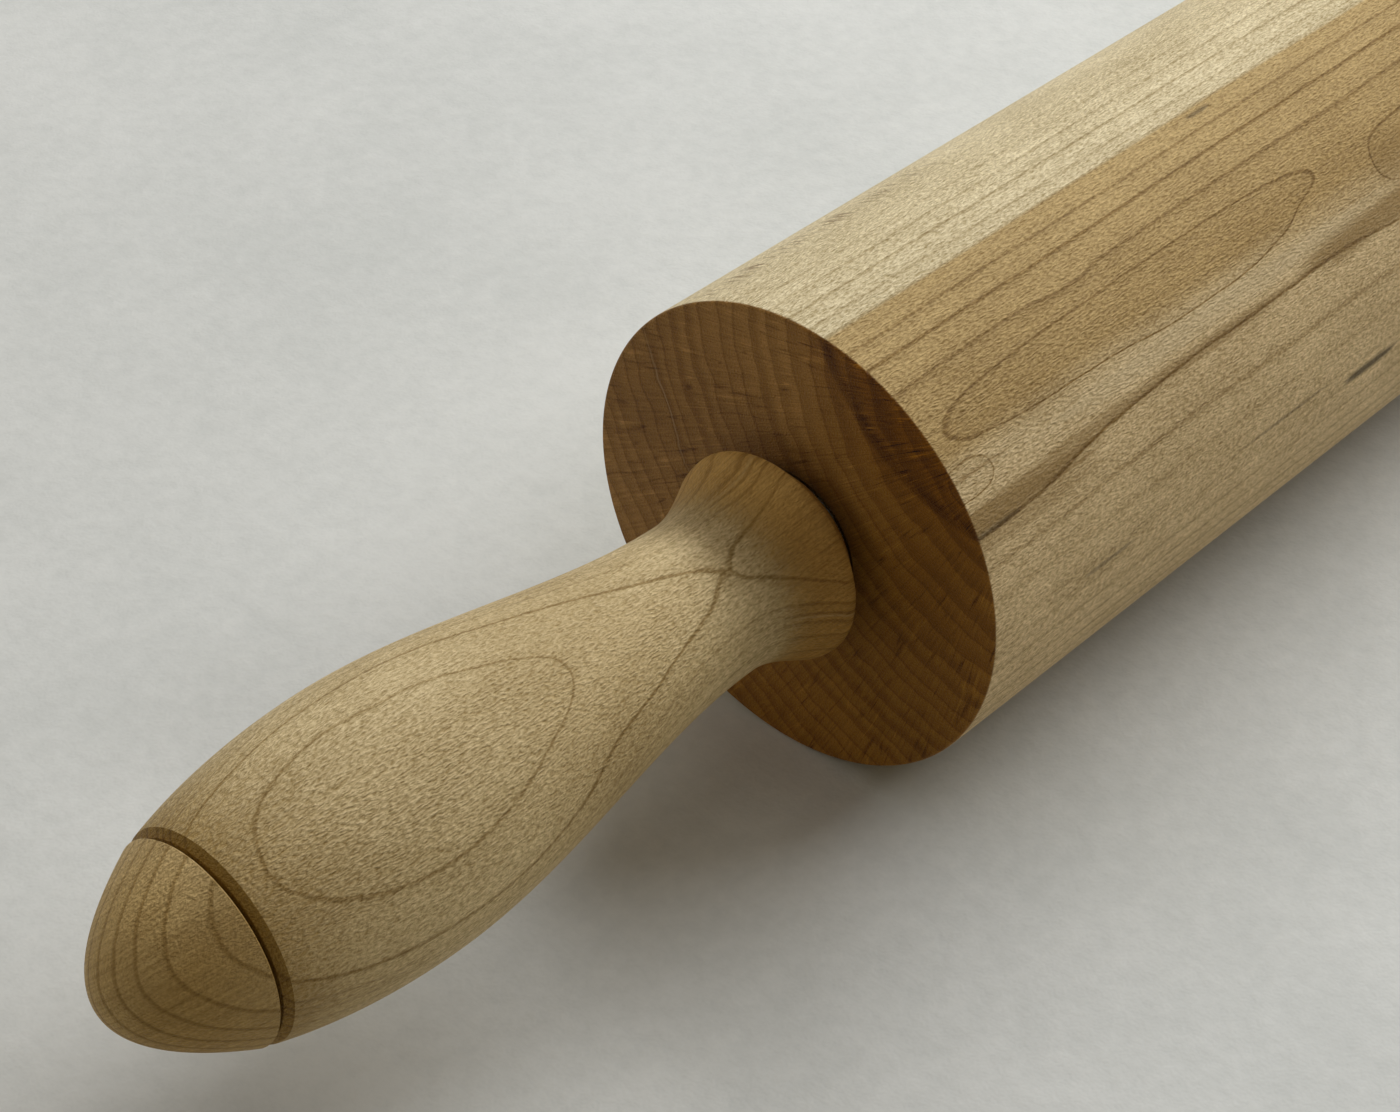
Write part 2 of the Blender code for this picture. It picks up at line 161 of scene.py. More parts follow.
HALO_BROWN = (0.31, 0.19, 0.060)
PALE_STREAK = (0.62, 0.49, 0.28)
BARREL_FIGURE = {
    "pith": (137.5, 57.0),
    "surface": 35.0,
    "lean": (0.0, 0.0),
    "least_slope": 0.25,
    "rings": (24.5, 27.6, 30.7, 33.7, 37.5, 39.9, 43.4, 46.8, 49.9, 53.1),
    "strengths": (0.72, 0.58, 0.78, 0.56, 0.38, 0.36, 0.54, 0.45, 0.54, 0.40),
    "line": (0.64, 0.28),
    "outer_spacing": 2.9,
    "pale_rings": ((70.0, 0.0, 28.6, 25.0, ENDLESS, 11.0, 0.40),),
    "flecks": ((18.0, 61.0, 34.0, 2.4, 0.75),),
    "accents": (
        (35.0, 150.0, 70.0, 3.5, 0.70),
        (48.0, 134.5, 30.0, 3.0, 0.45),
        (0.0, 162.0, ENDLESS, 4.5, -0.45),
        (0.0, 176.0, ENDLESS, 9.0, -0.45),
        (0.0, 64.0, ENDLESS, 12.0, -0.65),
    ),
    "swells": (
        (0.0, 152.0, ENDLESS, 10.5, 3.3),
        (0.0, 131.0, ENDLESS, 7.0, 3.6),
        (46.0, 129.3, 49.1, 4.8, -4.5),
        (58.0, 138.0, 17.0, 3.0, -0.7),
        (94.5, 131.0, 6.0, 5.0, 0.8),
        (88.0, 134.0, 9.0, 2.6, 0.8),
        (0.0, 141.3, 8.0, 2.6, -2.6),
        (128.0, 134.0, 30.0, 6.0, -4.4),
        (65.0, 149.0, 35.0, 5.0, 0.9),
        (36.0, 119.0, 6.0, 2.0, 0.6),
        (215.0, 118.0, 45.0, 8.0, 2.4),
        (262.0, 146.0, 40.0, 7.0, -4.0),
        (0.0, 152.0, 20.0, 5.0, -0.9),
    ),
    "streaks": (
        (88.0, 179.4, 7.0, 0.80, 0.90, STREAK_BROWN),
        (25.0, 178.4, 6.0, 0.45, 0.5, STREAK_BROWN),
        (66.0, 176.0, 10.0, 0.35, 0.4, STREAK_BROWN),
        (80.0, 100.2, 3.0, 0.45, 0.6, STREAK_BROWN),
        (33.0, 119.0, 9.0, 1.0, 0.35, HALO_BROWN),
        (0.0, 149.8, 27.0, 2.2, 0.85, HALO_BROWN),
        (0.0, 154.5, 26.0, 1.6, 0.45, HALO_BROWN),
        (45.0, 147.2, 34.0, 1.2, 0.60, HALO_BROWN),
        (94.0, 145.5, 20.0, 2.6, 0.80, HALO_BROWN),
        (0.0, 152.4, 9.0, 0.5, 0.55, STREAK_BROWN),
        (105.0, 136.0, 7.0, 3.5, 0.45, HALO_BROWN),
        (4.0, 140.0, 9.0, 0.35, 0.70, HALO_BROWN),
        (60.0, 141.6, 44.0, 1.8, 0.36, PALE_STREAK),
    ),
    "end_tones": (
        (84.0, 27.0, 9.0, 0.15),
        (22.0, 29.0, 9.0, -0.14),
        (170.0, 27.0, 10.0, -0.24),
        (248.0, 28.0, 10.0, 0.20),
    ),
}
HANDLE_FIGURE = {
    "pith": (304.0, 64.0),
    "surface": 18.25,
    "lean": (0.0, 0.0),
    "least_slope": 0.08,
    "rings": (59.0, 62.5, 66.0, 69.4, 71.4, 72.3, 73.3, 75.372, 79.6),
    "strengths": (0.24, 0.22, 0.28, 0.31, 0.28, 0.20, 0.28, 0.70, 0.60),
    "line": (0.64, 0.28),
    "outer_spacing": 3.9,
    "pale_rings": ((71.9, -6.0, 124.0, 12.0, 22.0, ENDLESS, 0.25),),
    "flecks": (),
    "accents": (),
    "swells": (
        (-75.0, 185.0, 32.0, 9.0, 1.2),
        (-75.0, 64.0, 32.0, 9.0, -0.9),
        (-90.0, 88.0, 12.0, 7.0, 0.9),
        (-70.0, 160.0, 25.0, 7.0, -0.6),
        (-42.0, 84.0, 20.0, 8.0, -0.6),
        (-42.0, 166.0, 20.0, 8.0, -0.6),
        (-2.0, 84.0, 11.0, 9.0, -4.6),
        (-2.0, 172.0, 11.0, 9.0, -0.9),
        (-13.0, 124.0, 5.0, ENDLESS, 0.30),
        (-52.0, 118.0, 8.0, 5.0, 0.5),
        (-42.0, 162.0, 14.0, 4.5, -0.7),
        (-57.0, 160.0, 18.0, 4.5, -0.45),
    ),
    "streaks": ((-9.0, 211.0, 7.0, 0.7, 0.8, STREAK_BROWN),),
    "end_tones": (),
}
CAP_FIGURE = {
    "pith": (317.0, 64.0),
    "surface": 14.0,
    "lean": (-103.4, -0.18),
    "least_slope": 0.3,
    "rings": (59.0, 62.0, 64.0, 66.0, 68.3, 70.4, 72.4, 74.5, 76.9),
    "strengths": (0.3, 0.32, 0.36, 0.4, 0.38, 0.5, 0.5, 0.6, 0.55),
    "line": (0.56, 0.26),
    "outer_spacing": 2.3,
    "pale_rings": (),
    "flecks": (),
    "accents": (),
    "swells": (),
    "streaks": (),
    "end_tones": (),
}

# Rings that no figure lists: how many there are between the first and the pith and beyond the last,
# how wide those beyond the last are in turn, as shares of outer_spacing, and how dark their edges are.
# A curve node holds only values from 0 to 1, so it holds ring widths as shares of CURVE_WIDTH.
INNER_RINGS = 4
OUTER_RINGS = 20
OUTER_STEPS = (0.92, 1.10, 0.95, 1.18, 0.85)
OUTER_STRENGTHS = (0.33, 0.22, 0.38, 0.26)
CURVE_WIDTH = 6.0

# Waves of the growth rings: size of a wave along and across the piece, and its height. END_WAVE is one
# more, on the barrel's end faces alone.
WAVES = (
    ((60.0, 14.0, 14.0), 0.35),
    ((16.0, 5.0, 5.0), 0.20),
    ((3.0, 1.2, 1.2), 0.04),
)
END_WAVE = ((200.0, 7.0, 7.0), 1.1)

# The line of a ring's edge: how close to the edge it is full on the pith's side, and the fainter late
# wood on that side, as the distances where it starts and is full, and its strength
LINE_CORE = 0.1
LATE_WOOD = (2.2, 0.2)
LATE_WOOD_STRENGTH = 0.16

# The shade of late wood on end grain, as shares of a ring where it starts and is full, and where it has
# ended and is still full, and how much it changes from ring to ring
END_BAND_START = (0.20, 0.85)
END_BAND_END = (1.0, 0.90)
END_BAND_CHANGE = 1.2

# Half the width of a pale ring, and how the grain breaks up the lines of the sides: what is left of a
# line where the grain is at its mean, and how much the grain adds
PALE_RING_HALF_WIDTH = 0.14
LINE_LEFT = 0.95
LINE_GRAIN = -0.6

# Colours of the wood, as reflectances. Each pair runs from the lower front of a piece, darkened there as
# painted shade, to its upper back, lightened there as painted light and sheen.
# End grain is darker and redder than the sides. On the barrel and the handle this is partly the real end
# grain and partly painted warm shade. The handle's flare has a colour of its own, partly end grain and partly
# painted shade near the barrel, and the barrel has a brown heart on one side. The other entries are these:
# cut: the size of the normal's part along the pin from which on a surface shows only end grain. It
#   shows none below CUT_START.
# end_line, end_shade: strengths of the ring lines and of the shade of late wood on end grain
# hairs: strength of the lighter and darker hair lines among the rays of end grain
# grain: how much the grain changes the tone of the sides
BARREL_LOOK = {
    "side": ((0.63, 0.458, 0.229), (0.745, 0.622, 0.376)),
    # The end colours hold painted warm shade besides the darker end grain.
    "end": ((0.318, 0.142, 0.018), (0.367, 0.190, 0.047)),
    "heart": ((0.40, 0.255, 0.088), (0.53, 0.370, 0.153)),
    "heart_end": (0.225, 0.083, 0.004),
    "cut": 0.60,
    "end_line": 0.55,
    "end_shade": 0.38,
    "hairs": 3.0,
    "grain": 0.76,
}
HANDLE_LOOK = {
    "side": ((0.59, 0.441, 0.215), (0.625, 0.485, 0.256)),
    # The end colours hold painted warm shade besides the darker end grain.
    "end": ((0.29, 0.165, 0.032), (0.31, 0.185, 0.038)),
    # The flare's colours are partly end grain and partly painted shade from the barrel.
    "flare": ((0.390, 0.206, 0.044), (0.535, 0.320, 0.092)),
    "cut": 0.46,
    "end_line": 0.55,
    "end_shade": 0.08,
    "hairs": 0.0,
    "grain": 0.76,
}
CAP_LOOK = {
    "side": ((0.60, 0.460, 0.238), (0.67, 0.530, 0.302)),
    "end": ((0.42, 0.262, 0.080), (0.57, 0.395, 0.158)),
    "cut": 0.60,
    "end_line": 0.60,
    "end_shade": 0.06,
    "hairs": 0.0,
    "grain": 0.36,
}
CUT_START = 0.05

# How the pairs of colours meet, where painted shade turns into painted light: how much a place's height
# counts beside its depth, how far slow noise moves the border, and where it starts and ends, as shares of the
# surface's radius
PAINTED_LIGHT_HEIGHT_SHARE = 0.7
PAINTED_LIGHT_WAVE = 8.0
PAINTED_LIGHT_FADE = (-0.6, 0.7)

# Where the handle's flare takes on its own colour, partly its end grain and partly painted shade near the
# barrel, as places along it
FLARE_SHADE_FADE = (-18.0, -7.0)

# The barrel's heart: its middle as (angle, distance from the axis), its radius, where on the surface it
# is darkest, and over what distances from there and from its middle it fades
HEART_MIDDLE = (125.0, 59.3)
HEART_RADIUS = 32.3
HEART_CORE = (115.0, 35.0)
HEART_CORE_FADE = (17.0, 10.5)
HEART_END_FADE = (42.0, 26.0)
# How far slow noise moves the heart's edge and its fading, how soft its edge is, and the dark rim of its
# end grain, as the distances inside and outside its edge where the rim starts, is full and ends
HEART_EDGE_WAVE = 0.5
HEART_CORE_WAVE = 2.0
HEART_EDGE_SOFTNESS = 0.5
HEART_RIM_INSIDE = 2.0
HEART_RIM_OUTSIDE = (0.3, 1.2)
# What the heart adds to the rays: more of them inside, and darker tones at its rim and inside it
HEART_RAYS = 1.0
HEART_RIM_TONE = -0.9
HEART_INSIDE_TONE = -0.3

# Noises of the wood: the size of their cells along and across the piece
SLOW_SIZE = (60.0, 8.0, 8.0)
CLOUD_SIZE = (16.0, 9.0, 9.0)
FIBRE_SIZE = (14.0, 0.4, 0.4)
GRAIN_SIZE = (0.80, 0.27, 0.27)
PORE_SIZE = (6.0, 0.30, 0.30)
FLECK_SIZE = (0.55, 5.0, 5.0)
STREAK_EDGE_SIZE = (9.0, 0.5, 0.5)

# Rays of end grain. Their noises lie over a turn round the pith, in hundredths of a radian, and the
# distance from the pith, and each has a layer of its own.
RAY_TURN_SCALE = 100.0
RAY_LAYER = 0.0
HAIR_LAYER = 7.0
HAIR_TONE_LAYER = 3.0
RAY_SIZE = (0.45, 7.0, 1.0)
HAIR_SIZE = (2.2, 16.0, 1.0)
HAIR_WIDTH = 0.08
HAIR_TONE_SIZE = (2.0, 6.0, 1.0)

# How much each noise changes the tone, and how the red, green and blue of the wood follow the tone:
# blue most, so that darker wood is browner
YEAR_SHARE = 0.06
SIDE_CLOUD_SHARE = 0.18
SIDE_FIBRE_SHARE = 0.26
END_CLOUD_SHARE = 0.14
END_RAY_SHARE = 0.45
END_PORE_SHARE = 0.34
END_LINE_TONE = -0.55
TONE_FOLLOWS = (1.0, 1.15, 1.5)

# Where flecks and streaks start and are full, and how rough a streak's edge is
FLECK_FADE = (0.0, 0.35)
STREAK_FADE = (0.2, 0.9)
STREAK_EDGE = 0.5

# Gloss and relief of the wood
WOOD_ROUGHNESS = 0.50
WOOD_ROUGHNESS_CHANGE = 0.15
WOOD_SPECULAR = 0.14
WOOD_BUMP = 0.00020

# The two handles: direction along X, turn of the figure in degrees, whether it is mirrored, and what
# shifts its noises. A cap's noises are shifted by CAP_SEED more.
HANDLE_SIDES = {"left": (-1, 0.0, False, 40.0), "right": (1, 75.0, True, 300.0)}
CAP_SEED = 70.0

# Metal inside the pin: colour, roughness, size of its tooling lines in metres and their depth
STEEL_LOOKS = {
    "rod_steel": ((0.56, 0.56, 0.57), 0.30, (0.05, 0.0002, 0.0002), 0.000004),
    "spacer_steel": ((0.60, 0.60, 0.60), 0.35, (0.0001, 0.003, 0.003), 0.000006),
    "washer_zinc": ((0.66, 0.67, 0.68), 0.40, (0.0010, 0.0010, 0.0010), 0.000010),
    "nut_zinc": ((0.62, 0.63, 0.65), 0.38, (0.0008, 0.0008, 0.0008), 0.000010),
    "race_steel": ((0.52, 0.52, 0.53), 0.22, (0.0001, 0.004, 0.004), 0.000003),
    "ball_steel": ((0.70, 0.70, 0.71), 0.12, (0.0006, 0.0006, 0.0006), 0.000001),
    "shield_steel": ((0.64, 0.64, 0.65), 0.30, (0.004, 0.0002, 0.0002), 0.000004),
}
STEEL_WEAR_SIZE = (0.003, 0.003, 0.003)
STEEL_LINE_TONE = 0.10
STEEL_LINE_ROUGHNESS = 0.10
STEEL_WEAR_TONE = 0.08
STEEL_WEAR_ROUGHNESS = 0.12

# Nylon of the bearing cages
NYLON_COLOURS = ((0.80, 0.79, 0.74), (0.88, 0.87, 0.83))
NYLON_CLOUD_SIZE = (0.004, 0.004, 0.004)
NYLON_CLOUD_RANGE = (-0.4, 0.4)
NYLON_GRAIN_SIZE = (0.0002, 0.0002, 0.0002)
NYLON_ROUGHNESS = 0.45
NYLON_ROUGHNESS_CHANGE = 0.10
NYLON_SUBSURFACE = 0.1
NYLON_SUBSURFACE_SCALE = 0.001
NYLON_BUMP = 0.00001


def arc(centre, radius, start, end, steps):
    """Points (radius, distance) along a circular arc, its angles measured from the +radius direction."""
    angles = [start + (end - start) * step / steps for step in range(steps + 1)]
    return [(centre[0] + radius * math.cos(a), centre[1] + radius * math.sin(a)) for a in angles]


def blend(start, end, t, start_slope=0.0):
    """Cubic from start at t = 0 to end at t = 1, with the given slope at its start and none at its end."""
    ease = t * t * (3 - 2 * t)
    return start + (end - start) * ease + start_slope * t * (1 - t) ** 2


def turned_rings(outline, direction, start, segments):
    """The vertices of a turned piece, and for each outline point its ring of vertex numbers.

    A point with no radius becomes one vertex on the axis, which fills its whole ring.
    """
    vertices = []
    rings = []
    for radius, distance in outline:
        x = start + direction * distance
        if radius == 0:
            rings.append([len(vertices)] * segments)
            vertices.append((x, 0.0, AXIS_HEIGHT))
            continue
        rings.append(list(range(len(vertices), len(vertices) + segments)))
        for step in range(segments):
            angle = 2 * math.pi * step / segments
            vertices.append((x, radius * math.cos(angle), AXIS_HEIGHT + radius * math.sin(angle)))
    return vertices, rings


def turned_faces(rings, direction, segments):
    """Faces between each ring and the next, and between the last ring and the first."""
    faces = []
    for index, ring in enumerate(rings):
        following = rings[(index + 1) % len(rings)]
        for step in range(segments):
            after = (step + 1) % segments
            corners = [ring[step], ring[after], following[after], following[step]]
            face = list(dict.fromkeys(corners))
            if len(face) > 2:
                faces.append(face if direction > 0 else face[::-1])
    return faces


def turned(name, outline, direction, start):
    """Turn a closed outline of (radius, distance) points about the pin's axis.

    Distances are measured along direction, which is 1 or -1 along X, from the place start.
    """
    vertices, rings = turned_rings(outline, direction, start, TURNED_STEPS)
    mesh = bpy.data.meshes.new(name)
    mesh.from_pydata(vertices, [], turned_faces(rings, direction, TURNED_STEPS))
    mesh.validate()
    mesh.shade_smooth()
    mesh.set_sharp_from_angle(angle=SHARP_ANGLE)
    piece = bpy.data.objects.new(name, mesh)
    bpy.context.scene.collection.objects.link(piece)
    return piece


def barrel_outline():
    """The barrel's section, from one end face to the other and back through its bore."""
    edge_centre = (BARREL_RADIUS - BARREL_EDGE_RADIUS, BARREL_END - BARREL_EDGE_RADIUS)
    edge = arc(edge_centre, BARREL_EDGE_RADIUS, math.pi / 2, 0, EDGE_STEPS)
    seat_floor = BARREL_END - BEARING_SEAT_DEPTH
    top = [(BEARING_SEAT_RADIUS, BARREL_END)] + edge
    seat = [(BARREL_BORE_RADIUS, seat_floor), (BEARING_SEAT_RADIUS, seat_floor)]
    bottom = [(r, -x) for r, x in reversed(top)]
    return top + bottom + [(r, -x) for r, x in reversed(seat)] + seat


def grip_end_radius(distance):
    """Radius of the ellipse that rounds the grip off towards the cap."""
    return GRIP_RADIUS * math.sqrt(1 - ((distance - GRIP_DISTANCE) / GRIP_END_REACH) ** 2)


def grip_outline():
    """The handle's outside from its end chamfer to the neck."""
    end_distance = HANDLE_END_DISTANCE - HANDLE_END_RECESS
    chamfer_distance = end_distance - HANDLE_END_CHAMFER
    chamfer_radius = grip_end_radius(chamfer_distance)
    outline = [(chamfer_radius - HANDLE_END_CHAMFER, end_distance)]
    for step in range(CURVE_STEPS):
        distance = chamfer_distance + (GRIP_DISTANCE - chamfer_distance) * step / CURVE_STEPS
        outline.append((grip_end_radius(distance), distance))
    for step in range(CURVE_STEPS):
        t = step / CURVE_STEPS
        distance = GRIP_DISTANCE + (NECK_DISTANCE - GRIP_DISTANCE) * t
        outline.append((blend(GRIP_RADIUS, NECK_RADIUS, t), distance))
    return outline


def flare_outline(lip_start):
    """The handle's outside from the neck to the point where the lip starts."""
    flare_radius, flare_distance = lip_start
    flare_length = NECK_DISTANCE - flare_distance
    flare_slope = -math.tan(FLARE_ANGLE) * flare_length
    outline = []
    for step in range(CURVE_STEPS // 2):
        t = 1 - 2 * step / CURVE_STEPS
        radius = blend(flare_radius, NECK_RADIUS, t, flare_slope)
        outline.append((radius, flare_distance + flare_length * t))
    return outline


def lip_outline():
    """The lip: it rounds off from the flare to its rim, and is cut in behind the rim down to a collar."""
    middle = (LIP_OUTER_RADIUS - LIP_ROUNDING, HANDLE_GAP + LIP_ROUNDING)
    rounding = arc(middle, LIP_ROUNDING, FLARE_ANGLE, 0, EDGE_STEPS)
    edge_centre = (LIP_OUTER_RADIUS - LIP_EDGE_RADIUS, middle[1])
    edge = arc(edge_centre, LIP_EDGE_RADIUS, 0, LIP_UNDERSIDE_ANGLE, EDGE_STEPS)
    return rounding + edge[1:] + [(COLLAR_RADIUS, HANDLE_GAP)]


def handle_outline():
    """The handle's section: chamfered end, grip, neck, flare, lip, bore and nut socket."""
    lip = lip_outline()
    bore = [
        (HANDLE_BORE_RADIUS, HANDLE_GAP),
        (HANDLE_BORE_RADIUS, SOCKET_FLOOR),
        (SOCKET_RADIUS, SOCKET_FLOOR),
        (SOCKET_RADIUS, HANDLE_END_DISTANCE - HANDLE_END_RECESS),
    ]
    return grip_outline() + flare_outline(lip[0]) + lip + bore


def cap_outline():
    """The cap's section: a domed end that carries on the grip's outline, and a tenon."""
    face = HANDLE_END_DISTANCE + CAP_GAP
    rim_radius = grip_end_radius(face)
    dome_start = face + CAP_RIM_BEVEL
    dome_height = CAP_TOP - dome_start
    tenon_radius = SOCKET_RADIUS - FIT_GAP
    outline = []
    for step in range(CURVE_STEPS + 1):
        share = step / CURVE_STEPS
        outline.append((rim_radius * share, dome_start + dome_height * (1 - share ** 2)))
    outline.append((rim_radius - CAP_RIM_BEVEL, face))
    outline.append((tenon_radius, face))
    outline.append((tenon_radius, CAP_TENON_END + TENON_BEVEL))
    outline.append((tenon_radius - TENON_BEVEL, CAP_TENON_END))
    outline.append((0, CAP_TENON_END))
    return outline


def colour_sockets(sockets):
    """Those of a mix node's inputs or outputs that hold colours."""
    return [socket for socket in sockets if socket.type == "RGBA"]


class Graph:
    """The nodes of a tree. A value given to a call is a number, a tuple or a node's output."""

    def __init__(self, tree):
        self.nodes = tree.nodes
        self.links = tree.links

    def feed(self, socket, value):
        """Link a node's output to a socket, or set the socket to a number or a tuple."""
        if isinstance(value, bpy.types.NodeSocket):
            self.links.new(value, socket)
        else:
            socket.default_value = value

    def math(self, operation, *values, clamp=False):
        """A number worked out from others."""
        node = self.nodes.new("ShaderNodeMath")
        node.operation = operation
        node.use_clamp = clamp
        for socket, value in zip(node.inputs, values):
            self.feed(socket, value)
        return node.outputs[0]

    def vector(self, operation, *values):
        """A vector, or a length or product, worked out from vectors."""
        node = self.nodes.new("ShaderNodeVectorMath")
        node.operation = operation
        for socket, value in zip(node.inputs, values):
            self.feed(socket, value)
        output = "Value" if operation in ("LENGTH", "DOT_PRODUCT") else "Vector"
        return node.outputs[output]

    def rotate(self, place, angle):
        """A place turned about the X axis by an angle in degrees."""
        node = self.nodes.new("ShaderNodeVectorRotate")
        node.rotation_type = "X_AXIS"
        self.feed(node.inputs["Vector"], place)
        node.inputs["Angle"].default_value = math.radians(angle)
        return node.outputs[0]

    def split(self, place):
        """The X, Y and Z of a vector."""
        node = self.nodes.new("ShaderNodeSeparateXYZ")
        self.feed(node.inputs[0], place)
        return node.outputs

    def join(self, x, y, z):
        """A vector from its X, Y and Z."""
        node = self.nodes.new("ShaderNodeCombineXYZ")
        for socket, value in zip(node.inputs, (x, y, z)):
            self.feed(socket, value)
        return node.outputs[0]

    def noise(self, place, size, detail=2.0, roughness=0.5):
        """Noise about 0, mostly within 0.5 of it, whose cells have the given (X, Y, Z) size."""
        node = self.nodes.new("ShaderNodeTexNoise")
        node.inputs["Scale"].default_value = 1.0
        node.inputs["Detail"].default_value = detail
        node.inputs["Roughness"].default_value = roughness
        self.feed(node.inputs["Vector"], self.vector("DIVIDE", place, size))
        return self.math("MULTIPLY_ADD", node.outputs[0], 2.0, -1.0)

    def random(self, value):
        """A random number from 0 to 1 that is the same wherever the value is."""
        node = self.nodes.new("ShaderNodeTexWhiteNoise")
        node.noise_dimensions = "1D"
        self.feed(node.inputs["W"], value)
        return node.outputs["Value"]

    def steps(self, value, start, end):
        """A smooth step from 0 at start to 1 at end."""
        node = self.nodes.new("ShaderNodeMapRange")
        node.interpolation_type = "SMOOTHSTEP"
        self.feed(node.inputs["Value"], value)
        node.inputs["From Min"].default_value = start
        node.inputs["From Max"].default_value = end
        return node.outputs["Result"]

    def curve(self, value, points):
        """Straight lines through (value, result) points, both of them from 0 to 1."""
        node = self.nodes.new("ShaderNodeFloatCurve")
        line = node.mapping.curves[0]
        for x, y in points[1:-1]:
            line.points.new(x, y)
        line.points[0].location = points[0]
        line.points[-1].location = points[-1]
        for point in line.points:
            point.handle_type = "VECTOR"
        node.mapping.update()
        self.feed(node.inputs["Value"], value)
        return node.outputs[0]

    def mix(self, share, first, second, blend_type="MIX"):
        """A colour between two, or one laid on the other in another way."""
        node = self.nodes.new("ShaderNodeMix")
        node.data_type = "RGBA"
        node.blend_type = blend_type
        self.feed(node.inputs[0], share)
        for socket, colour in zip(colour_sockets(node.inputs), (first, second)):
            self.feed(socket, (*colour, 1.0) if isinstance(colour, tuple) else colour)
        return colour_sockets(node.outputs)[0]

    def toned(self, colour, *parts):
        """A colour made lighter and darker by noises, each given with its share, and browner where darker."""
        tone = 1.0
        for value, share in parts:
            tone = self.math("MULTIPLY_ADD", value, share, tone)
        tones = [self.math("MULTIPLY_ADD", tone, follow, 1.0 - follow) for follow in TONE_FOLLOWS]
        return self.mix(1.0, colour, self.join(*tones), "MULTIPLY")

    def bump(self, height, distance, strength=1.0):
        """A normal bent by a height that is worth a distance in metres."""
        node = self.nodes.new("ShaderNodeBump")
        node.inputs["Strength"].default_value = strength
        node.inputs["Distance"].default_value = distance
        self.feed(node.inputs["Height"], height)
        return node.outputs[0]


class Surface(Graph):
    """The nodes of one material."""

    def __init__(self, name):
        self.material = bpy.data.materials.new(name)
        self.material.use_nodes = True
        super().__init__(self.material.node_tree)
        self.shader = self.nodes["Principled BSDF"]

    def coordinates(self, kind):
        """The object's own coordinates, or its normal in them."""
        node = self.nodes.new("ShaderNodeTexCoord")
        return node.outputs[kind]

    def paint(self, colour, roughness, normal):
        """Give the shader its colour, roughness and normal, and return the material."""
        self.feed(self.shader.inputs["Base Color"], colour)
        self.feed(self.shader.inputs["Roughness"], roughness)
        self.feed(self.shader.inputs["Normal"], normal)
        return self.material


def section_place(angle, radius):
    """(Y, Z) at an angle and a distance from the axis."""
    return radius * math.cos(math.radians(angle)), radius * math.sin(math.radians(angle))


def ring_table(figure):
    """The ring distance of every dark edge, with the width of the rings beside it and its strength."""
    radii = figure["rings"]
    outer, inner = figure["outer_spacing"], radii[1] - radii[0]
    edges = [radii[0] - inner * step for step in range(INNER_RINGS, 0, -1)] + list(radii)
    strengths = [OUTER_STRENGTHS[0]] * INNER_RINGS + list(figure["strengths"])
    for step in range(OUTER_RINGS):
        edges.append(edges[-1] + outer * OUTER_STEPS[step % len(OUTER_STEPS)])
        strengths.append(OUTER_STRENGTHS[step % len(OUTER_STRENGTHS)])
    widths = [inner] + [(after - before) / 2 for before, after in zip(edges, edges[2:])] + [outer]
    return edges, widths, strengths


